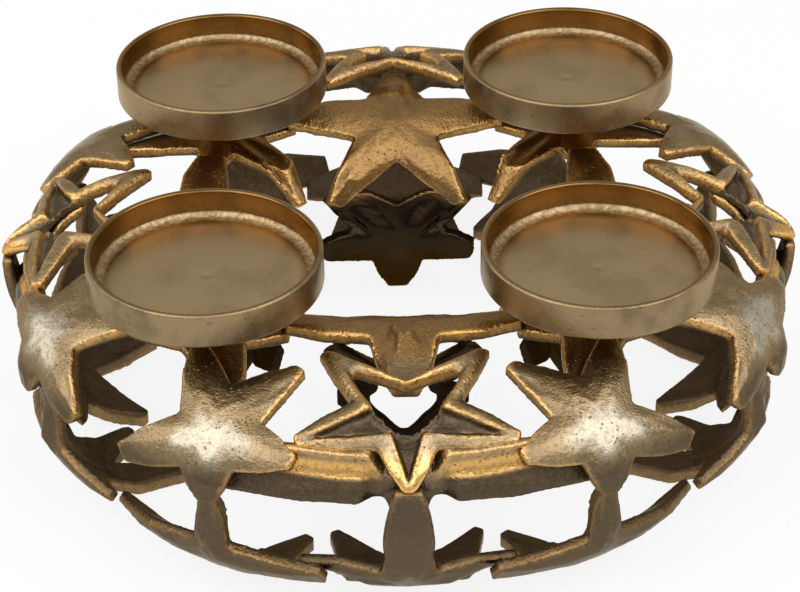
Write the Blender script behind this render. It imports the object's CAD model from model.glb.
import math

import bpy
import numpy as np
from mathutils import Matrix, Vector


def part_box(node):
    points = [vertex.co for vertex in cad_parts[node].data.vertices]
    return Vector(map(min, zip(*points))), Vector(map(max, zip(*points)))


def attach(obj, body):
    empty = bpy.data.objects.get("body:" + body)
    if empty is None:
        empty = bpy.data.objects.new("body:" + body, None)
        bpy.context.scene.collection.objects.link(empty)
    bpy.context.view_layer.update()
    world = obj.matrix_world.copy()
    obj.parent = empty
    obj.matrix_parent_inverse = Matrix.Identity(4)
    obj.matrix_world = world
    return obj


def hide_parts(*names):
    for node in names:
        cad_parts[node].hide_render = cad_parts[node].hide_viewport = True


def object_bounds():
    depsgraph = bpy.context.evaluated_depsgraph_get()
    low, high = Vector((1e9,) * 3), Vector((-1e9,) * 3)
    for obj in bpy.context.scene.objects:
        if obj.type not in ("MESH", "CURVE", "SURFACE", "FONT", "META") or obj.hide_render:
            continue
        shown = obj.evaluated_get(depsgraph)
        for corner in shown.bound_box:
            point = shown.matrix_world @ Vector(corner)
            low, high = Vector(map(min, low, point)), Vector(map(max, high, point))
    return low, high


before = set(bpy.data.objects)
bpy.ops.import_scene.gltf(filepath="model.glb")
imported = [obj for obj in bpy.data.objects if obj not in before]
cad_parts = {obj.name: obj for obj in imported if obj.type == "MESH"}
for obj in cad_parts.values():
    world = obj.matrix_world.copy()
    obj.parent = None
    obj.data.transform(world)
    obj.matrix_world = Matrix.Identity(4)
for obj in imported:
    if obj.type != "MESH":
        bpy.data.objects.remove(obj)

bl_info = {
    "name": "Advent candle holder",
    "version": (1, 0, 0),
    "blender": (4, 5, 0),
    "location": "View3D > Sidebar > Candle holder",
    "description": "Builds the looks of a cast star ring with four candle pans",
    "category": "Object",
}

MM = 0.001
SIDES = ["front", "right", "back", "left"]
CORNERS = ["front_left", "front_right", "back_right", "back_left"]
FRAME_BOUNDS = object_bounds()
PAN_LOW, PAN_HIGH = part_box("candle_pan_front_left")
PAN_CENTRE = [(PAN_LOW[k] + PAN_HIGH[k]) / 2 for k in range(2)]

# The ring's tube: the radius of its middle line, half its width, the heights of its widest
# place and of its crown, and how far its wall reaches below its widest place
RING_RADIUS = 111 * MM
TUBE_HALF_WIDTH = 57.5 * MM
EQUATOR = 58 * MM
CROWN = 92 * MM
LOWER_WALL = 65.7 * MM

# The turn round the tube, up from its widest place, at which a hollow star's centre lies
HOLLOW_CENTRE = math.radians(61)

# How far a star's domed middle, which touches the tube, stands above its edge
STAR_DOME = 2.2 * MM
# A star's inner face lies below the first of these shares of the tube's size, and its outer
# face above the second
INNER_FACE_SHARE, OUTER_FACE_SHARE = 0.93, 0.96

# The tips of a hollow star's sunk arms, from its centre, and their widths at root and tip
SUNK_ARM_TIPS = [(0, -33 * MM), (-41 * MM, -15 * MM), (41 * MM, -15 * MM)]
SUNK_ARM_ROOT, SUNK_ARM_END = 22 * MM, 4.4 * MM
# Where the recess begins and where it is at its full depth, from the rim's inner edge
RECESS_BEGINS, RECESS_DEEP = -0.4 * MM, 0.6 * MM
# How far its V-shaped point stands further out, and how far down from the star's centre it
# rises and turns orange
POINT_RISE = 2.4 * MM
POINT_RISES = 14 * MM, 30 * MM
POINT_TURNS_WARM = 15 * MM, 22 * MM

# How deep a middle star's wall below its ridge and its lower point are sunk, and how far its
# wings are drawn up
WALL_SINK = 1.8 * MM
POINT_SINK = 8.6 * MM
WING_LIFT = 7.5 * MM
# Where each begins or ends, in degrees round the ring from the middle of a side
WING_BEGINS = 3, 6
POINT_ENDS = 4.5, 7
# The same in degrees round the tube
WING_RISES = 16, 24
RIDGE_BEGINS = 20, 24
RIDGE_ENDS = 31, 36
WALL_ENDS = 20, 23
POINT_SINKS_FROM, POINT_SINKS_OVER = 24, 28

# How far a base star's upper arm is drawn up and out, and by what share it is widened
STRUT_LIFT = 15 * MM
STRUT_RISE = 3 * MM
STRUT_WIDENING_SHARE = 0.45
# Where each begins and is complete, in degrees round the tube, and where the strut turns brown
STRUT_LIFTS = -24, -4
STRUT_RISES = -30, -8
STRUT_WIDENS = -34, -12
STRUT_TURNS_BROWN = -16, -4

# Where the castings' wear changes: the reach from the ring's axis or the height at which a
# change begins, and how much further in or down it is complete
SLOPE = RING_RADIUS + 6 * MM, 22 * MM
SHELTER = RING_RADIUS + 20 * MM, 30 * MM
INNER_WALL = RING_RADIUS - 12 * MM, 10 * MM
LOWER_LEG = 66 * MM, 14 * MM
LOW_BEGINS, LOW_FADE = 77 * MM, 18 * MM
# The low stretch begins so much further down where the ring shelters it
SHELTER_DROP = 24 * MM
# The polish of the domes fades by this share between these degrees round the tube
DOME_FADES = 42, 60
DOME_FADE_SHARE = 0.75
# A place that stands so far above its surroundings is fully worn
PROUD_HEIGHT = 0.35 * MM
# A face counts less as a side wall, by this much for how far it turns outwards or inwards
TURN_FROM_SIDE = 1.6

# The sizes of a casting's slow waves and of its sand grain, and the levels of their textures
# that leave a face where it was
WAVE_SIZE, WAVE_LEVEL = 14 * MM, 0.3
SAND_SIZE, SAND_LEVEL = 1.8 * MM, 0.5
# Corners of the CAD model's triangles that are so close are one
SAME_PLACE = 0.01 * MM

# Sizes of the patterns in the finishes, and the heights of their bumps
CAST_CLOUD, CAST_PATCH, CAST_GRAIN, CAST_SAND = 18 * MM, 6 * MM, 1.5 * MM, 0.8 * MM
CAST_PITS, CAST_BUMP = 1.9 * MM, 0.40 * MM
PAN_CLOUD, PAN_FINE, PAN_COARSE, PAN_SPECKS = 24 * MM, 0.9 * MM, 1.9 * MM, 3.2 * MM
PAN_BUMP = 0.30 * MM
PAN_EDGE_TINT = 0.85, 0.70, 0.50
STEEL_FINE, STEEL_BUMP = 0.8 * MM, 0.05 * MM

# A pan's cove has so many steps and its floor so many rings round a dimple
COVE_STEPS = 5
FLOOR_RINGS = 6
DIMPLE_RADIUS = 2.6 * MM
DIMPLE_SLOPE = 1.2 * MM
DIMPLE_DEPTH = 0.3 * MM
# What is left of its floor above the blind hole, and the rounding of its edges
FLOOR_ABOVE_HOLE = 1.2 * MM
PAN_ROUNDING = 1.1 * MM
# A face whose normal's height is above this is level
LEVEL_FACE = 0.9
# The cove's finish fades out at this share of its width from its middle, and goes up the wall
# to this share of its height
COVE_FADE_SHARE, COVE_TOP_SHARE = 0.62, 1.1
# The floor's and the outside's finish come in over these widths, and the floor's goes down
# this far into the dimple
FLOOR_FADE, OUTSIDE_FADE = 2 * MM, 0.8 * MM
FLOOR_LOWEST = 0.5 * MM

# Each light's name, place, width and height, and power in watts
LIGHTS = [
    ("left_light", (-0.85, -0.5, 1.25), (1.3, 1.3), 11.5),
    ("right_light", (0.85, -0.5, 1.25), (1.3, 1.3), 11.5),
    ("side_light", (-1.6, 0.5, 0.75), (0.8, 0.5), 3),
    ("front_light", (0, -1.5, 1.2), (1.2, 0.3), 4),
]
LIGHTS_AIM = (0, 0, 0.05)
SURROUNDING_LIGHT = 0.56
# How much of the table is plain white to the camera, the rest being lit by the lamps
WHITE_TABLE_SHARE = 0.86


# Settings that a user would change

class CastingSettings(bpy.types.PropertyGroup):
    """How the cast stars are finished"""
    grain: bpy.props.FloatProperty(
        name="Grain size", description="Size of the cells that a casting is made again from",
        default=0.85 * MM, min=0.5 * MM, max=3 * MM, unit="LENGTH", precision=5)
    rounding: bpy.props.IntProperty(
        name="Rounding", description="How many times the edges of a casting are smoothed",
        default=3, min=0, max=30)
    waviness: bpy.props.FloatProperty(
        name="Waviness", description="Height of the slow waves in a cast face",
        default=0.5 * MM, min=0.0, max=3 * MM, unit="LENGTH", precision=4)
    sand_height: bpy.props.FloatProperty(
        name="Sand height", description="Height of the sand texture on a cast face",
        default=0.2 * MM, min=0.0, max=1 * MM, unit="LENGTH", precision=5)
    recess_depth: bpy.props.FloatProperty(
        name="Recess depth", description="Depth of the star-shaped recess in a hollow star",
        default=3.6 * MM, min=0.0, max=5 * MM, unit="LENGTH", precision=4)
    rim_width: bpy.props.FloatProperty(
        name="Rim width", description="Width of the rim that is left round that recess",
        default=3.0 * MM, min=1 * MM, max=6 * MM, unit="LENGTH", precision=4)
    ridge_height: bpy.props.FloatProperty(
        name="Ridge height", description="How far the ridge stands out between the outer stars",
        default=4.4 * MM, min=0.0, max=5 * MM, unit="LENGTH", precision=4)


class PanSettings(bpy.types.PropertyGroup):
    """Sizes of the candle pans' finishing"""
    steps: bpy.props.IntProperty(
        name="Steps", description="Faces round a pan", default=160, min=32, max=256)
    wall: bpy.props.FloatProperty(
        name="Wall", description="Thickness of a pan's wall",
        default=2.5 * MM, min=1.5 * MM, max=4 * MM, unit="LENGTH", precision=4)
    floor: bpy.props.FloatProperty(
        name="Floor", description="Thickness of a pan's floor",
        default=2.5 * MM, min=2 * MM, max=5 * MM, unit="LENGTH", precision=4)
    boss_radius: bpy.props.FloatProperty(
        name="Boss radius", description="Radius of the boss under a pan",
        default=7.5 * MM, min=6 * MM, max=10 * MM, unit="LENGTH", precision=4)
    boss_height: bpy.props.FloatProperty(
        name="Boss height", description="Height of the boss under a pan",
        default=4 * MM, min=2 * MM, max=6 * MM, unit="LENGTH", precision=4)
    hole_radius: bpy.props.FloatProperty(
        name="Screw hole radius", description="Radius of the blind hole in the boss",
        default=2.5 * MM, min=2 * MM, max=3 * MM, unit="LENGTH", precision=4)
    cove_width: bpy.props.FloatProperty(
        name="Cove width", description="Width of the rough cove inside the wall",
        default=4 * MM, min=2 * MM, max=8 * MM, unit="LENGTH", precision=4)
    cove_height: bpy.props.FloatProperty(
        name="Cove height", description="Height of the rough cove inside the wall",
        default=3 * MM, min=1 * MM, max=6 * MM, unit="LENGTH", precision=4)


class ColourSettings(bpy.types.PropertyGroup):
    """Colours of the finishes"""
    star_gold: bpy.props.FloatVectorProperty(
        name="Cast gold", description="Colour of the stars' outer faces",
        default=(0.34, 0.235, 0.115), min=0.0, max=1.0, subtype="COLOR", size=3)
    rubbed_gold: bpy.props.FloatVectorProperty(
        name="Rubbed gold", description="Champagne colour of the domes that stand highest",
        default=(0.58, 0.51, 0.385), min=0.0, max=1.0, subtype="COLOR", size=3)
    edge_tint: bpy.props.FloatVectorProperty(
        name="Edge tint", description="Tint of the castings where they are seen at a flat angle",
        default=(0.55, 0.45, 0.32), min=0.0, max=1.0, subtype="COLOR", size=3)
    slope_gold: bpy.props.FloatVectorProperty(
        name="Slope gold", description="Warmer colour of the faces on the slope towards the hole",
        default=(0.35, 0.187, 0.053), min=0.0, max=1.0, subtype="COLOR", size=3)
    wall_gold: bpy.props.FloatVectorProperty(
        name="Side wall gold", description="Orange colour of the castings' coarse side walls",
        default=(0.90, 0.50, 0.12), min=0.0, max=1.0, subtype="COLOR", size=3)
    inner_brown: bpy.props.FloatVectorProperty(
        name="Inner brown", description="Lighter brown in the recesses and on the inside",
        default=(0.120, 0.080, 0.042), min=0.0, max=1.0, subtype="COLOR", size=3)
    inside_gold: bpy.props.FloatVectorProperty(
        name="Inside gold", description="Dull gold of the castings' inner faces",
        default=(0.22, 0.145, 0.075), min=0.0, max=1.0, subtype="COLOR", size=3)
    leg_brown: bpy.props.FloatVectorProperty(
        name="Leg brown", description="Darkest brown, low on the inner wall",
        default=(0.018, 0.012, 0.007), min=0.0, max=1.0, subtype="COLOR", size=3)
    ridge_gold: bpy.props.FloatVectorProperty(
        name="Ridge gold", description="Colour of the rubbed ridges and edges",
        default=(0.88, 0.50, 0.15), min=0.0, max=1.0, subtype="COLOR", size=3)
    patina: bpy.props.FloatVectorProperty(
        name="Patina", description="Colour left in the hollows and on the inside",
        default=(0.055, 0.036, 0.019), min=0.0, max=1.0, subtype="COLOR", size=3)
    lower_gold: bpy.props.FloatVectorProperty(
        name="Lower gold", description="Duller colour of the lower wall and of worn patches",
        default=(0.105, 0.070, 0.034), min=0.0, max=1.0, subtype="COLOR", size=3)
    pan_gold: bpy.props.FloatVectorProperty(
        name="Pan gold", description="Colour of the inside of the pans' walls",
        default=(0.23, 0.118, 0.033), min=0.0, max=1.0, subtype="COLOR", size=3)
    pan_outside: bpy.props.FloatVectorProperty(
        name="Pan outside", description="Colour of the outside of the pans' walls",
        default=(0.31, 0.215, 0.105), min=0.0, max=1.0, subtype="COLOR", size=3)
    pan_floor: bpy.props.FloatVectorProperty(
        name="Pan floor", description="Colour of the pans' satin floors",
        default=(0.45, 0.332, 0.178), min=0.0, max=1.0, subtype="COLOR", size=3)
    cove_gold: bpy.props.FloatVectorProperty(
        name="Cove gold", description="Bright colour of the pans' rough cove",
        default=(0.52, 0.41, 0.24), min=0.0, max=1.0, subtype="COLOR", size=3)
    screw_steel: bpy.props.FloatVectorProperty(
        name="Screw steel", description="Colour of the screws",
        default=(0.42, 0.41, 0.40), min=0.0, max=1.0, subtype="COLOR", size=3)
    table: bpy.props.FloatVectorProperty(
        name="Table", description="Colour of the table",
        default=(0.86, 0.86, 0.86), min=0.0, max=1.0, subtype="COLOR", size=3)


class StageSettings(bpy.types.PropertyGroup):
    """Camera and light"""
    distance: bpy.props.FloatProperty(
        name="Distance", description="From the camera to the point it looks at",
        default=0.9773, min=0.3, max=3, unit="LENGTH", precision=4)
    aim_height: bpy.props.FloatProperty(
        name="Aim height", description="Height of the point that the camera looks at",
        default=43.53 * MM, min=0, max=0.2, unit="LENGTH", precision=4)
    tilt: bpy.props.FloatProperty(
        name="Tilt", description="How far the camera looks down",
        default=math.radians(34.08), min=0, max=math.pi / 2, subtype="ANGLE")
    yaw: bpy.props.FloatProperty(
        name="Yaw", description="How far the camera stands to one side",
        default=0.0145, min=-math.pi, max=math.pi, subtype="ANGLE")
    roll: bpy.props.FloatProperty(
        name="Roll", description="How far the camera leans",
        default=-0.0119, min=-0.5, max=0.5, subtype="ANGLE")
    lens: bpy.props.FloatProperty(
        name="Lens", description="Focal length for a 36 mm wide picture",
        default=104.43, min=20, max=200, unit="CAMERA")
    table_size: bpy.props.FloatProperty(
        name="Table size", description="Width of the table top",
        default=9.0, min=1, max=20, unit="LENGTH")


# Shader expressions

class Reading:
    """A number or vector that a shader works out, used in Python expressions"""

    def __init__(self, finish, socket):
        self.finish = finish
        self.socket = socket

    def __add__(self, other):
        return self.finish.maths("ADD", self, other)

    def __radd__(self, other):
        return self.finish.maths("ADD", self, other)

    def __sub__(self, other):
        return self.finish.maths("SUBTRACT", self, other)

    def __rsub__(self, other):
        return self.finish.maths("SUBTRACT", other, self)

    def __mul__(self, other):
        return self.finish.maths("MULTIPLY", self, other)

    def __rmul__(self, other):
        return self.finish.maths("MULTIPLY", self, other)


class Finish:
    """One material, worked out from its nodes"""

    def __init__(self, name):
        self.material = bpy.data.materials.new(name)
        self.material.use_nodes = True
        self.tree = self.material.node_tree
        self.tree.nodes.clear()

    def node(self, kind, settings=None, **sockets):
        """A node with its settings made first, then the values or links of its sockets,
        which are named, with _ for a space, or numbered, as in n2"""
        made = self.tree.nodes.new(kind)
        for key, value in (settings or {}).items():
            setattr(made, key, value)
        for key, value in sockets.items():
            numbered = key[0] == "n" and key[1:].isdigit()
            self.feed(made.inputs[int(key[1:]) if numbered else key.replace("_", " ")], value)
        return made

    def feed(self, socket, value):
        if isinstance(value, Reading):
            self.tree.links.new(value.socket, socket)
        elif socket.type == "RGBA" and len(value) == 3:
            socket.default_value = (*value, 1.0)
        else:
            socket.default_value = value

    def read(self, node, output=0):
        return Reading(self, node.outputs[output])

    def maths(self, operation, *values):
        sockets = {f"n{k}": value for k, value in enumerate(values)}
        return self.read(self.node("ShaderNodeMath", {"operation": operation}, **sockets))

    def clamped(self, value, low, high):
        """0 below low, 1 above high, smooth between them"""
        return self.read(self.node(
            "ShaderNodeMapRange", {"interpolation_type": "SMOOTHSTEP"},
            Value=value, From_Min=low, From_Max=high))

    def mixed(self, share, first, second):
        """A colour between two. Inputs 6 and 7 and output 2 are the ones for colours."""
        made = self.node("ShaderNodeMix", {"data_type": "RGBA"}, n0=share, n6=first, n7=second)
        return self.read(made, 2)

    def place(self):
        return self.read(self.node("ShaderNodeTexCoord"), "Object")

    def kept(self, name):
        """A value kept on the mesh"""
        return self.read(self.node("ShaderNodeAttribute", {"attribute_name": name}), "Fac")

    def noise(self, vector, size, detail=3.0, rough=0.55):
        """Cloudy noise with features about so many metres across"""
        return self.read(self.node(
            "ShaderNodeTexNoise", Vector=vector, Scale=1.0 / size, Detail=detail, Roughness=rough))

    def pits(self, vector, size):
        """Distance to the nearest of many scattered points"""
        return self.read(self.node("ShaderNodeTexVoronoi", Vector=vector, Scale=1.0 / size))

    def bumped(self, height, depth, strength):
        return self.read(self.node("ShaderNodeBump", Strength=strength, Distance=depth, Height=height))

    def metal(self, colour, roughness, normal, edge_tint=(1.0, 1.0, 1.0), coat=0.0):
        """A metal with its tint at grazing angles, and a thin clear lacquer where it has one"""
        shader = self.node(
            "ShaderNodeBsdfPrincipled", Base_Color=colour, Roughness=roughness,
            Metallic=1.0, Normal=normal, Specular_Tint=edge_tint,
            Coat_Weight=coat, Coat_Roughness=0.22)
        self.node("ShaderNodeOutputMaterial", Surface=self.read(shader))
        return self.material


def gold_casting(colours):
    """Sand-cast aluminium, toned gold: champagne where it is rubbed, bright on its ridges,
    orange on its coarse side walls, and brown in its recesses and inside"""
    finish = Finish("cast_gold_finish")
    place = finish.place()
    worn, inward, side = finish.kept("worn"), finish.kept("inward"), finish.kept("side")
    low, slope, deep = finish.kept("low"), finish.kept("slope"), finish.kept("deep")
    leg, dome, warm = finish.kept("leg"), finish.kept("dome"), finish.kept("warm")
    cloud = finish.noise(place, CAST_CLOUD)
    patch = finish.noise(place, CAST_PATCH, 3.0, 0.6)
    grain = finish.noise(place, CAST_GRAIN, 3.0, 0.6)
    sand = finish.noise(place, CAST_SAND, 2.0)
    speck = finish.pits(place, CAST_PITS)
    pitted = (1 - finish.clamped(speck, 0.10, 0.34)) * finish.clamped(patch, 0.47, 0.63)
    coarse = finish.clamped(grain, 0.36, 0.62)
    polished = finish.clamped(dome + 0.5 * (cloud - 0.5) + 0.4 * (grain - 0.5), 0.35, 0.95)
    # The outer face, from its plain gold to the patina in its corners
    champagne = finish.mixed(polished, colours.star_gold, colours.rubbed_gold)
    sloping = finish.clamped(slope + 0.3 * (cloud - 0.5), 0.2, 0.9)
    face = finish.mixed(sloping * 0.9, champagne, colours.slope_gold)
    aged = finish.mixed(finish.clamped(cloud, 0.42, 0.70) * 0.35, face, colours.lower_gold)
    lowered = finish.clamped(low + 0.35 * (cloud - 0.5), 0.20, 0.75)
    lower = finish.mixed(lowered, aged, colours.lower_gold)
    walls = finish.mixed(side * (0.6 + 0.4 * coarse) * (1 - 0.7 * low), lower, colours.wall_gold)
    ridge = finish.clamped(worn + 0.30 * (grain - 0.5), 0.62, 0.92)
    rubbed = finish.mixed(ridge * (0.60 - 0.52 * low), walls, colours.ridge_gold)
    crest = finish.mixed(warm * (0.7 + 0.25 * cloud), rubbed, colours.ridge_gold)
    dirt = pitted * 0.5 + 0.30 * (1 - finish.clamped(grain, 0.34, 0.50))
    dirty = finish.mixed(dirt, crest, colours.patina)
    hollow = finish.mixed((1 - finish.clamped(worn, 0.18, 0.46)) * 0.7, dirty, colours.patina)
    # The recesses, the inner faces and the legs
    shade = finish.mixed(0.4 * coarse + 0.5 * cloud, colours.patina, colours.inner_brown)
    sunk = finish.mixed(deep * 0.94, hollow, shade)
    dull = finish.clamped(inward + 0.3 * (cloud - 0.5), 0.30, 0.70)
    inside = finish.mixed(0.15 * coarse + 0.8 * cloud, shade, colours.inside_gold)
    darkest = finish.mixed(0.7 * cloud, colours.leg_brown, colours.patina)
    colour = finish.mixed(leg, finish.mixed(dull, sunk, inside), darkest)
    # The shine and the bumps
    rubbed_smooth = 0.27 + 0.16 * patch - 0.08 * ridge + 0.06 * polished - 0.10 * warm
    roughness = rubbed_smooth + 0.22 * dull + 0.15 * pitted + 0.14 * deep
    smooth = (1 - 0.8 * leg) * (1 - 0.45 * polished) * (1 - 0.5 * warm)
    grainy = (grain * (0.65 + 0.6 * side + 0.4 * deep) + 0.5 * sand) * smooth
    height = grainy - pitted * 0.7 + 0.5 * patch
    normal = finish.bumped(height, CAST_BUMP, 0.9)
    coat = 0.4 * (1 - leg) * (1 - 0.6 * dull) * (1 - 0.8 * warm)
    return finish.metal(colour, roughness, normal, colours.edge_tint, coat)


def satin_gold(colours):
    """Turned gold of the pans: polished inside the wall, satin on the floor, mottled
    outside, with a coarse cove left as it was cast"""
    finish = Finish("satin_gold_finish")
    place = finish.place()
    cove = finish.kept("cove")
    bottom = finish.kept("bottom")
    outside = finish.kept("outside")
    cloud = finish.noise(place, PAN_CLOUD, 4.0, 0.6)
    fine = finish.noise(place, PAN_FINE, 2.0)
    coarse = finish.noise(place, PAN_COARSE, 4.0, 0.7)
    speck = finish.clamped(finish.noise(place, PAN_SPECKS, 3.0, 0.7), 0.60, 0.72) * outside
    wall = finish.mixed(outside, colours.pan_gold, colours.pan_outside)
    tone = finish.mixed(bottom, wall, colours.pan_floor)
    age = finish.clamped(cloud, 0.42, 0.70) * (0.25 + 0.45 * outside)
    aged = finish.mixed(age, tone, colours.lower_gold)
    marked = finish.mixed(speck * 0.45, aged, colours.lower_gold)
    shine = cove * (0.25 + 0.6 * finish.clamped(coarse, 0.40, 0.62))
    bright = finish.mixed(shine, marked, colours.cove_gold)
    roughness = 0.13 + 0.08 * fine + 0.20 * bottom + 0.20 * outside + 0.20 * cove
    height = fine * (0.20 + 0.35 * outside) + coarse * (cove * 2.4 + outside * 0.5) - speck * 0.6
    normal = finish.bumped(height, PAN_BUMP, 0.55)
    return finish.metal(bright, roughness, normal, PAN_EDGE_TINT, 0.12 + 0.30 * outside)


def plain_steel(colours):
    """Bright steel of the screws, with a fine grain"""
    finish = Finish("screw_steel_finish")
    place = finish.place()
    fine = finish.noise(place, STEEL_FINE, 2.0)
    darker = [0.8 * share for share in colours.screw_steel]
    colour = finish.mixed(fine, colours.screw_steel, darker)
    return finish.metal(colour, 0.28 + 0.15 * fine, finish.bumped(fine, STEEL_BUMP, 0.4))


def pale_table(colours):
    """A plain pale table that keeps the holder's shadow. The camera and what shines on the
    holder see it mostly as plain white."""
    finish = Finish("pale_table")
    ray = finish.node("ShaderNodeLightPath")
    seen = finish.read(ray, "Is Camera Ray") + finish.read(ray, "Is Glossy Ray")
    lit = finish.node("ShaderNodeBsdfDiffuse", Color=colours.table)
    white = finish.node("ShaderNodeEmission", Color=(1.0, 1.0, 1.0), Strength=1.0)
    share = finish.maths("MINIMUM", seen * WHITE_TABLE_SHARE, WHITE_TABLE_SHARE)
    both = finish.node("ShaderNodeMixShader", n0=share, n1=finish.read(lit), n2=finish.read(white))
    finish.node("ShaderNodeOutputMaterial", Surface=finish.read(both))
    return finish.material


# Steps that the pieces share

def deselect():
    """Nothing stays selected"""
    for other in bpy.context.selected_objects:
        other.select_set(False)


def pick(piece):
    """Only this piece is selected, and active"""
    deselect()
    piece.select_set(True)
    bpy.context.view_layer.objects.active = piece


def finish_with(piece, kind, **settings):
    """Adds a modifier and applies it"""
    pick(piece)
    modifier = piece.modifiers.new(kind.lower(), kind)
    for key, value in settings.items():
        setattr(modifier, key, value)
    bpy.ops.object.modifier_apply(modifier=modifier.name)


def clouds(name, size):
    """A cloudy texture with features about so many metres across"""
    made = bpy.data.textures.new(name, "CLOUDS")
    made.noise_scale = size
    return made


def copy_of_node(node, name):
    """The CAD node's mesh in a new object, its loose triangles joined"""
    piece = bpy.data.objects.new(name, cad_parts[node].data.copy())
    bpy.context.scene.collection.objects.link(piece)
    piece.data.materials.clear()
    pick(piece)
    bpy.ops.object.mode_set(mode="EDIT")
    bpy.ops.mesh.select_all(action="SELECT")
    bpy.ops.mesh.remove_doubles(threshold=SAME_PLACE)
    bpy.ops.object.mode_set(mode="OBJECT")
    return piece


def corners_of(mesh):
    points = np.empty(len(mesh.vertices) * 3)
    mesh.vertices.foreach_get("co", points)
    return points.reshape(-1, 3)


def normals_of(mesh):
    normals = np.empty(len(mesh.vertices) * 3)
    mesh.vertex_normals.foreach_get("vector", normals)
    return normals.reshape(-1, 3)


def edges_of(mesh):
    edges = np.empty(len(mesh.edges) * 2, dtype=np.int64)
    mesh.edges.foreach_get("vertices", edges)
    return edges.reshape(-1, 2)


def neighbour_mean(values, edges):
    """Each corner's neighbours, averaged"""
    total = np.zeros_like(values)
    count = np.zeros(len(values))
    for a, b in ((0, 1), (1, 0)):
        np.add.at(total, edges[:, a], values[edges[:, b]])
        np.add.at(count, edges[:, a], 1)
    return total / np.maximum(count, 1).reshape((-1,) + (1,) * (values.ndim - 1))


def evened(values, edges):
    """Values drawn halfway to their neighbours' mean, three times over"""
    for _ in range(3):
        values = 0.5 * values + 0.5 * neighbour_mean(values, edges)
    return values


def keep(mesh, name, values):
    """Keeps a value from 0 to 1 for each corner, or the same one for all"""
    shares = np.broadcast_to(np.clip(values, 0, 1), len(mesh.vertices)).astype(np.float32)
    mesh.attributes.new(name, "FLOAT", "POINT").data.foreach_set("value", shares)


def half_height(above):
    """The tube's reach above its widest place, or below it"""
    return np.where(above > 0, CROWN - EQUATOR, LOWER_WALL)


def reach_of(points):
    """Distances from the ring's axis"""
    return np.hypot(points[:, 0], points[:, 1])


def turn_of(points):
    """Turns round the ring, from the front, and round its tube, from the outside"""
    round_ring = np.arctan2(points[:, 0], -points[:, 1])
    across = (reach_of(points) - RING_RADIUS) / TUBE_HALF_WIDTH
    height = points[:, 2] - EQUATOR
    return round_ring, np.arctan2(height / half_height(height), across)


def out_of_ring(points):
    """Directions straight out of the ring's tube"""
    reach = reach_of(points)
    height = points[:, 2] - EQUATOR
    across = (reach - RING_RADIUS) / TUBE_HALF_WIDTH ** 2
    out = np.stack([points[:, 0] / reach * across, points[:, 1] / reach * across,
                    height / half_height(height) ** 2], 1)
    return out / np.linalg.norm(out, axis=1)[:, None]


def along_tube(round_ring, round_tube):
    """Directions up the outside of the tube"""
    out = -TUBE_HALF_WIDTH * np.sin(round_tube)
    rise = half_height(round_tube) * np.cos(round_tube)
    way = np.stack([out * np.sin(round_ring), -out * np.cos(round_ring), rise], 1)
    return way / np.linalg.norm(way, axis=1)[:, None]


def laid_flat(points, centre_turn):
    """Places on the front side of the tube, unrolled, in metres from a star's centre"""
    round_ring, round_tube = turn_of(points)
    half_degrees = 2 * 360
    turns = np.linspace(-math.pi, math.pi, half_degrees + 1)
    widths, heights = TUBE_HALF_WIDTH * np.sin(turns), half_height(turns) * np.cos(turns)
    along = np.cumsum(np.hypot(widths, heights) * (turns[1] - turns[0]))
    up = np.interp(round_tube, turns, along) - np.interp(centre_turn, turns, along)
    return np.stack([round_ring * (RING_RADIUS + TUBE_HALF_WIDTH * np.cos(round_tube)), up], 1)


def tube_level(points):
    """1 on the tube's surface, less inside it"""
    across = (reach_of(points) - RING_RADIUS) / TUBE_HALF_WIDTH
    height = points[:, 2] - EQUATOR
    return np.hypot(across, height / half_height(height))


def smooth_step(values, low, high):
    """0 below low, 1 above high, smooth between them"""
    share = np.clip((values - low) / (high - low), 0, 1)
    return share * share * (3 - 2 * share)


def outer_skin(points):
    """1 on the outer face of a star's plate, 0 on its inner face"""
    return smooth_step(tube_level(points), INNER_FACE_SHARE, OUTER_FACE_SHARE)


def arm_depth(flat, tip, root_width, tip_width):
    """How far each place lies inside an arm's edge, above 0 inside"""
    reach = math.hypot(*tip)
    along = (flat @ np.array(tip)) / reach
    beside = np.abs(flat @ np.array([-tip[1], tip[0]])) / reach
    half = root_width / 2 + (tip_width - root_width) / 2 * np.clip(along / reach, 0, 1)
    return np.where((along > 0) & (along < reach), half - beside, -1.0)


def past(values, begins, fade):
    """0 where a change begins, 1 where it is complete, and on from there"""
    return (begins - values) / fade


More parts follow.
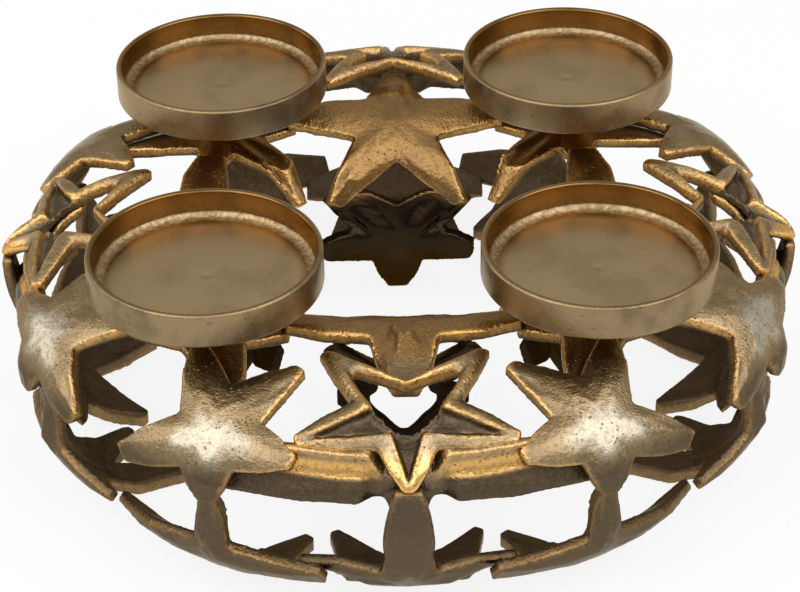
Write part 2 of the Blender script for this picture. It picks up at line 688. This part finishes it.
def keep_wear(mesh, deep, warm):
    """Keeps on the mesh how worn each place is, which way it faces, where on the ring it
    lies, how deep it lies and how warm its gold is"""
    points, normals, edges = corners_of(mesh), normals_of(mesh), edges_of(mesh)
    # Each place is set against the mean of the patch of cells round it
    wide = points
    for _ in range(4):
        wide = neighbour_mean(wide, edges)
    proud = evened(((points - wide) * normals).sum(1) / PROUD_HEIGHT, edges)
    keep(mesh, "worn", 0.5 + 0.5 * proud)
    facing = evened((normals * out_of_ring(points)).sum(1), edges)
    keep(mesh, "inward", 0.5 - 0.5 * facing)
    keep(mesh, "side", 1 - np.abs(facing) * TURN_FROM_SIDE)
    reach, height = reach_of(points), points[:, 2]
    sheltered = np.clip(past(reach, *SHELTER), 0, 1)
    keep(mesh, "low", past(height, LOW_BEGINS - SHELTER_DROP * sheltered, LOW_FADE))
    keep(mesh, "slope", past(reach, *SLOPE))
    above_edge = 1 + (tube_level(points) - 1) * TUBE_HALF_WIDTH / STAR_DOME
    faded = smooth_step(np.degrees(turn_of(points)[1]), *DOME_FADES)
    keep(mesh, "dome", above_edge * (1 - DOME_FADE_SHARE * faded))
    keep(mesh, "deep", deep)
    keep(mesh, "warm", warm)
    within = smooth_step(past(reach, *INNER_WALL), 0, 1)
    keep(mesh, "leg", within * smooth_step(past(height, *LOWER_LEG), 0, 1))


def recast(piece, casting):
    """The piece's mesh is made again from even cells"""
    finish_with(piece, "REMESH", mode="VOXEL", voxel_size=casting.grain, use_smooth_shade=True)


def cast(node, carve=None):
    """A CAD star turned into a casting: rounded edges, slow waves and sand grain. What
    carve moves is moved before the edges are rounded."""
    casting = bpy.context.scene.holder_casting
    piece = copy_of_node(node, node + "_cast")
    recast(piece, casting)
    if carve:
        points = carve(corners_of(piece.data), casting)[0]
        piece.data.vertices.foreach_set("co", points.ravel())
        recast(piece, casting)
    finish_with(piece, "SMOOTH", factor=0.5, iterations=casting.rounding)
    finish_with(piece, "DISPLACE", texture=clouds(piece.name + "_waves", WAVE_SIZE),
                texture_coords="GLOBAL", strength=casting.waviness, mid_level=WAVE_LEVEL)
    finish_with(piece, "DISPLACE", texture=clouds(piece.name + "_sand", SAND_SIZE),
                texture_coords="GLOBAL", strength=casting.sand_height, mid_level=SAND_LEVEL)
    stay_inside(piece.data)
    deep, warm = carve(corners_of(piece.data), casting)[1:] if carve else (0, 0)
    keep_wear(piece.data, deep, warm)
    return piece


def stay_inside(mesh):
    """No corner passes the table or the sides of the CAD model's box"""
    points = np.clip(corners_of(mesh), FRAME_BOUNDS[0], FRAME_BOUNDS[1])
    mesh.vertices.foreach_set("co", points.ravel())
    mesh.update()


def turned_copy(piece, name, quarter_turns, mirrored=False):
    """A copy with its own mesh, turned about the ring's axis, its left and right changed
    over first where it is mirrored"""
    copy = bpy.data.objects.new(name, piece.data.copy())
    bpy.context.scene.collection.objects.link(copy)
    turn = Matrix.Rotation(quarter_turns * math.pi / 2, 4, "Z")
    copy.data.transform(turn @ Matrix.Diagonal((-1.0 if mirrored else 1.0, 1.0, 1.0, 1.0)))
    if mirrored:
        copy.data.flip_normals()
    return copy


def stand_for(piece, node, material):
    """The piece rides with the holder and takes the place of its CAD node"""
    piece.data.materials.clear()
    piece.data.materials.append(material)
    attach(piece, "root")
    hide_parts(node)


def star_material():
    """The one finish of all the castings, made for the first of them"""
    return bpy.data.materials.get("cast_gold_finish") or gold_casting(bpy.context.scene.holder_colours)


def stand_round(first, nodes, material, ending="_cast"):
    """The first piece stands for the first node, and turned copies stand for the others"""
    for turn, node in enumerate(nodes):
        piece = first if turn == 0 else turned_copy(first, node + ending, turn)
        stand_for(piece, node, material)


def cast_on_sides(kind, carve=None):
    """One star of a kind is cast, and three copies are turned into place"""
    nodes = [f"{kind}_{side}" for side in SIDES]
    stand_round(cast(nodes[0], carve), nodes, star_material())


# What each kind of star is carved into. A carving takes places on the star and gives where
# they move to, how deep they lie, and how warm their gold is.

def carve_hollow_star(points, casting):
    """A recess along the two lower arms and the V-shaped point, with a rim round it"""
    flat = laid_flat(points, HOLLOW_CENTRE)
    inside = np.full(len(points), -1.0)
    for tip in SUNK_ARM_TIPS:
        inside = np.maximum(inside, arm_depth(flat, tip, SUNK_ARM_ROOT, SUNK_ARM_END))
    rim = casting.rim_width
    sunk = smooth_step(inside, rim + RECESS_BEGINS, rim + RECESS_DEEP)
    down = -flat[:, 1]
    rise = POINT_RISE * smooth_step(down, *POINT_RISES)
    shift = rise - sunk * casting.recess_depth * outer_skin(points)
    warm = smooth_step(down, *POINT_TURNS_WARM) * (1 - sunk)
    return points + out_of_ring(points) * shift[:, None], sunk, warm


def carve_middle_star(points, casting):
    """A proud ridge along the top of the wings, a sunk wall under it, and a lower point
    that lies deep behind the strut"""
    round_ring, round_tube = turn_of(points)
    turn = np.degrees(round_tube)
    side = np.degrees(np.abs(round_ring))
    wing = smooth_step(side, *WING_BEGINS)
    point = 1 - smooth_step(side, *POINT_ENDS)
    lift = wing * smooth_step(turn, *WING_RISES)
    ridge = wing * smooth_step(turn, *RIDGE_BEGINS) * (1 - smooth_step(turn, *RIDGE_ENDS))
    wall = wing * (1 - smooth_step(turn, *WALL_ENDS))
    sink = point * np.clip(past(turn, POINT_SINKS_FROM, POINT_SINKS_OVER), 0, 1)
    shift = ridge * casting.ridge_height - wall * outer_skin(points) * WALL_SINK - sink * POINT_SINK
    up = along_tube(round_ring, round_tube) * (lift * WING_LIFT)[:, None]
    moved = points + out_of_ring(points) * shift[:, None] + up
    return moved, np.maximum(wall, 0.6 * sink), ridge


def carve_base_star(points, casting):
    """The upper arm is drawn up to the ridge, out and wider, as one strut"""
    round_ring, round_tube = turn_of(points)
    turn = np.degrees(round_tube)
    lift = smooth_step(turn, *STRUT_LIFTS) * STRUT_LIFT
    rise = smooth_step(turn, *STRUT_RISES) * STRUT_RISE
    up = along_tube(round_ring, round_tube) * lift[:, None]
    moved = points + up + out_of_ring(points) * rise[:, None]
    wider = round_ring * (1 + STRUT_WIDENING_SHARE * smooth_step(turn, *STRUT_WIDENS))
    reach = reach_of(moved)
    moved[:, 0], moved[:, 1] = reach * np.sin(wider), -reach * np.cos(wider)
    return moved, 0.5 * smooth_step(turn, *STRUT_TURNS_BROWN), 0


# One operator for each group of like pieces

class HOLDER_OT_hollow_stars(bpy.types.Operator):
    """Casts the hollow star on top of each side"""
    bl_idname = "holder.hollow_stars"
    bl_label = "Hollow stars"

    def execute(self, context):
        cast_on_sides("hollow_star", carve_hollow_star)
        return {"FINISHED"}


class HOLDER_OT_middle_stars(bpy.types.Operator):
    """Casts the star behind each hollow star"""
    bl_idname = "holder.middle_stars"
    bl_label = "Middle stars"

    def execute(self, context):
        cast_on_sides("middle_star", carve_middle_star)
        return {"FINISHED"}


class HOLDER_OT_outer_stars(bpy.types.Operator):
    """Casts the large domed stars on the outer shoulder"""
    bl_idname = "holder.outer_stars"
    bl_label = "Outer stars"

    def execute(self, context):
        first = cast("outer_star_front_left")
        for turn, side in enumerate(SIDES):
            left = first if turn == 0 else turned_copy(first, f"outer_star_{side}_left_cast", turn)
            right = turned_copy(first, f"outer_star_{side}_right_cast", turn, mirrored=True)
            stand_for(left, f"outer_star_{side}_left", star_material())
            stand_for(right, f"outer_star_{side}_right", star_material())
        return {"FINISHED"}


class HOLDER_OT_inner_stars(bpy.types.Operator):
    """Casts the stars on the slope towards the hole"""
    bl_idname = "holder.inner_stars"
    bl_label = "Inner stars"

    def execute(self, context):
        cast_on_sides("inner_star")
        return {"FINISHED"}


class HOLDER_OT_foot_stars(bpy.types.Operator):
    """Casts the stars on the lower wall, whose shape differs between front and right"""
    bl_idname = "holder.foot_stars"
    bl_label = "Foot stars"

    def execute(self, context):
        for shape in range(2):
            first = cast(f"foot_star_{SIDES[shape]}_left")
            # It is turned back to the front, so that its copies can be mirrored there
            first.data.transform(Matrix.Rotation(-shape * math.pi / 2, 4, "Z"))
            for turn in (shape, shape + 2):
                for hand, mirrored in (("left", False), ("right", True)):
                    node = f"foot_star_{SIDES[turn]}_{hand}"
                    star = turned_copy(first, node + "_casting", turn, mirrored)
                    stand_for(star, node, star_material())
            bpy.data.objects.remove(first)
        return {"FINISHED"}


class HOLDER_OT_base_stars(bpy.types.Operator):
    """Casts the star at the foot of each side"""
    bl_idname = "holder.base_stars"
    bl_label = "Base stars"

    def execute(self, context):
        cast_on_sides("base_star", carve_base_star)
        return {"FINISHED"}


class HOLDER_OT_leg_stars(bpy.types.Operator):
    """Casts the stars on the inner wall, of which the front one is open in its middle"""
    bl_idname = "holder.leg_stars"
    bl_label = "Leg stars"

    def execute(self, context):
        stand_for(cast("leg_star_front"), "leg_star_front", star_material())
        others = [f"leg_star_{side}" for side in SIDES[1:]]
        stand_round(cast(others[0]), others, star_material())
        return {"FINISHED"}


class HOLDER_OT_pan_stars(bpy.types.Operator):
    """Casts the star and post under each pan"""
    bl_idname = "holder.pan_stars"
    bl_label = "Pan stars"

    def execute(self, context):
        nodes = [f"pan_star_{corner}" for corner in CORNERS]
        stand_round(cast(nodes[0]), nodes, star_material())
        return {"FINISHED"}


def select_level_faces(piece, way):
    """Selects the level faces that face up, for way 1, or down, for way -1, and stays in
    edit mode"""
    bpy.ops.object.mode_set(mode="OBJECT")
    for polygon in piece.data.polygons:
        polygon.select = polygon.normal.z * way > LEVEL_FACE
    for edge in piece.data.edges:
        edge.select = False
    for vertex in piece.data.vertices:
        vertex.select = False
    bpy.ops.object.mode_set(mode="EDIT")


def draw_up(height):
    """The selected faces are drawn up, or down where the height is below 0"""
    bpy.ops.mesh.extrude_region_move(TRANSFORM_OT_translate={"value": (0, 0, height)})


def mark_pan(piece, centre, radius, floor, pan):
    """Keeps on a pan where its cove, its floor and its outside are"""
    points = corners_of(piece.data)
    reach = np.hypot(points[:, 0] - centre.x, points[:, 1] - centre.y)
    height = points[:, 2]
    inner = radius - pan.wall
    above = height > floor - FLOOR_LOWEST
    below = height < floor + pan.cove_height * COVE_TOP_SHARE
    from_cove = np.abs(reach - (inner - pan.cove_width / 2))
    cove = np.clip(1 - from_cove / (pan.cove_width * COVE_FADE_SHARE), 0, 1) * above * below
    keep(piece.data, "cove", cove * 2)
    bottom = np.clip((inner - pan.cove_width - reach) / FLOOR_FADE, 0, 1)
    keep(piece.data, "bottom", bottom * above)
    keep(piece.data, "outside", (reach - inner - OUTSIDE_FADE) / OUTSIDE_FADE)


class HOLDER_OT_candle_pans(bpy.types.Operator):
    """Turns the four candle pans"""
    bl_idname = "holder.candle_pans"
    bl_label = "Candle pans"

    def execute(self, context):
        pan = context.scene.holder_pans
        radius = (PAN_HIGH[0] - PAN_LOW[0]) / 2
        base = PAN_LOW[2] + pan.boss_height
        rim = PAN_HIGH[2]
        floor = base + pan.floor
        centre = Vector((PAN_CENTRE[0], PAN_CENTRE[1], 0))
        deselect()
        bpy.ops.mesh.primitive_cylinder_add(
            vertices=pan.steps, radius=radius, depth=rim - base,
            location=(centre.x, centre.y, (rim + base) / 2))
        piece = context.active_object
        piece.name = "candle_pan_front_left_turned"
        bpy.ops.object.transform_apply(location=True, rotation=True, scale=True)
        bpy.ops.object.mode_set(mode="EDIT")
        bpy.ops.mesh.select_mode(type="FACE")
        # The pan is hollowed from above
        select_level_faces(piece, 1)
        bpy.ops.mesh.inset(thickness=pan.wall)
        draw_up(floor + pan.cove_height - rim)
        for step in range(COVE_STEPS):
            bend, next_bend = (math.pi / 2 * k / COVE_STEPS for k in (step, step + 1))
            bpy.ops.mesh.inset(
                thickness=pan.cove_width * (math.cos(bend) - math.cos(next_bend)),
                depth=-pan.cove_height * (math.sin(next_bend) - math.sin(bend)))
        # Rings even out the floor's faces, down to a faint dimple in its middle
        ring_width = (radius - pan.wall - pan.cove_width) / FLOOR_RINGS
        for _ in range(FLOOR_RINGS - 1):
            bpy.ops.mesh.inset(thickness=ring_width)
        bpy.ops.mesh.inset(thickness=ring_width - DIMPLE_RADIUS)
        bpy.ops.mesh.inset(thickness=DIMPLE_SLOPE, depth=-DIMPLE_DEPTH)
        # The boss and its blind hole are drawn from below
        select_level_faces(piece, -1)
        bpy.ops.mesh.inset(thickness=radius - pan.boss_radius)
        draw_up(-pan.boss_height)
        bpy.ops.mesh.inset(thickness=pan.boss_radius - pan.hole_radius)
        draw_up(pan.boss_height + pan.floor - FLOOR_ABOVE_HOLE)
        bpy.ops.object.mode_set(mode="OBJECT")
        finish_with(piece, "BEVEL", width=PAN_ROUNDING, segments=5, limit_method="ANGLE",
                    angle_limit=math.radians(50))
        finish_with(piece, "SUBSURF", levels=1, render_levels=1, subdivision_type="SIMPLE")
        mark_pan(piece, centre, radius, floor, pan)
        bpy.ops.object.shade_smooth_by_angle(angle=math.radians(40))
        nodes = [f"candle_pan_{corner}" for corner in CORNERS]
        stand_round(piece, nodes, satin_gold(context.scene.holder_colours), "_turned")
        return {"FINISHED"}


class HOLDER_OT_screws(bpy.types.Operator):
    """Gives the pan screws their steel. They keep the CAD model's mesh."""
    bl_idname = "holder.screws"
    bl_label = "Screws"

    def execute(self, context):
        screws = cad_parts["pan_screws"]
        screws.data.materials.clear()
        screws.data.materials.append(plain_steel(context.scene.holder_colours))
        return {"FINISHED"}


def hang_light(name, place, size, power):
    """A soft white light that shines on the middle of the holder"""
    data = bpy.data.lights.new(name, "AREA")
    data.shape = "RECTANGLE"
    data.size, data.size_y = size
    data.energy = power
    lamp = bpy.data.objects.new(name, data)
    lamp.location = place
    lamp.rotation_euler = (Vector(place) - Vector(LIGHTS_AIM)).to_track_quat("Z", "Y").to_euler()
    bpy.context.scene.collection.objects.link(lamp)


def add_camera(scene, stage):
    """A camera that looks at a point above the table's middle"""
    tilt, yaw, roll = stage.tilt, stage.yaw, stage.roll
    level = math.cos(tilt)
    ahead = Vector((math.sin(yaw) * level, math.cos(yaw) * level, -math.sin(tilt)))
    right = Vector((math.cos(yaw), -math.sin(yaw), 0))
    up = right.cross(ahead)
    leaning_right = right * math.cos(roll) + up * math.sin(roll)
    leaning_up = up * math.cos(roll) - right * math.sin(roll)
    data = bpy.data.cameras.new("camera")
    data.sensor_width = 36
    data.lens = stage.lens
    camera = bpy.data.objects.new("camera", data)
    scene.collection.objects.link(camera)
    place = Vector((0, 0, stage.aim_height)) - ahead * stage.distance
    turn = Matrix((leaning_right, leaning_up, -ahead)).transposed()
    camera.matrix_world = Matrix.Translation(place) @ turn.to_4x4()
    scene.camera = camera


class HOLDER_OT_stage(bpy.types.Operator):
    """Sets the table, the lights and the camera"""
    bl_idname = "holder.stage"
    bl_label = "Stage"

    def execute(self, context):
        stage = context.scene.holder_stage
        deselect()
        bpy.ops.mesh.primitive_plane_add(size=stage.table_size, location=(0, 0, 0))
        table = context.active_object
        table.name = "table"
        table.data.materials.append(pale_table(context.scene.holder_colours))
        for light in LIGHTS:
            hang_light(*light)
        world = bpy.data.worlds.new("studio")
        world.use_nodes = True
        background = world.node_tree.nodes["Background"]
        background.inputs["Color"].default_value = (1.0, 1.0, 1.0, 1.0)
        background.inputs["Strength"].default_value = SURROUNDING_LIGHT
        context.scene.world = world
        context.scene.view_settings.view_transform = "Standard"
        add_camera(context.scene, stage)
        return {"FINISHED"}


class HOLDER_PT_panel(bpy.types.Panel):
    """Lists the steps that build the holder"""
    bl_idname = "HOLDER_PT_panel"
    bl_label = "Candle holder"
    bl_space_type = "VIEW_3D"
    bl_region_type = "UI"
    bl_category = "Candle holder"

    def draw(self, context):
        for operator in OPERATORS:
            self.layout.operator(operator.bl_idname)


SETTINGS = {
    "holder_casting": CastingSettings,
    "holder_pans": PanSettings,
    "holder_colours": ColourSettings,
    "holder_stage": StageSettings,
}
OPERATORS = [
    HOLDER_OT_stage, HOLDER_OT_hollow_stars, HOLDER_OT_middle_stars, HOLDER_OT_outer_stars,
    HOLDER_OT_inner_stars, HOLDER_OT_foot_stars, HOLDER_OT_base_stars, HOLDER_OT_leg_stars,
    HOLDER_OT_pan_stars, HOLDER_OT_candle_pans, HOLDER_OT_screws,
]


def register():
    for group in SETTINGS.values():
        bpy.utils.register_class(group)
    for operator in OPERATORS:
        bpy.utils.register_class(operator)
    bpy.utils.register_class(HOLDER_PT_panel)
    for name, group in SETTINGS.items():
        setattr(bpy.types.Scene, name, bpy.props.PointerProperty(type=group))


def unregister():
    for name in SETTINGS:
        delattr(bpy.types.Scene, name)
    bpy.utils.unregister_class(HOLDER_PT_panel)
    for operator in reversed(OPERATORS):
        bpy.utils.unregister_class(operator)
    for group in reversed(SETTINGS.values()):
        bpy.utils.unregister_class(group)


def main():
    register()
    bpy.ops.holder.stage()
    bpy.ops.holder.hollow_stars()
    bpy.ops.holder.middle_stars()
    bpy.ops.holder.outer_stars()
    bpy.ops.holder.inner_stars()
    bpy.ops.holder.foot_stars()
    bpy.ops.holder.base_stars()
    bpy.ops.holder.leg_stars()
    bpy.ops.holder.pan_stars()
    bpy.ops.holder.candle_pans()
    bpy.ops.holder.screws()


if __name__ == "__main__":
    main()
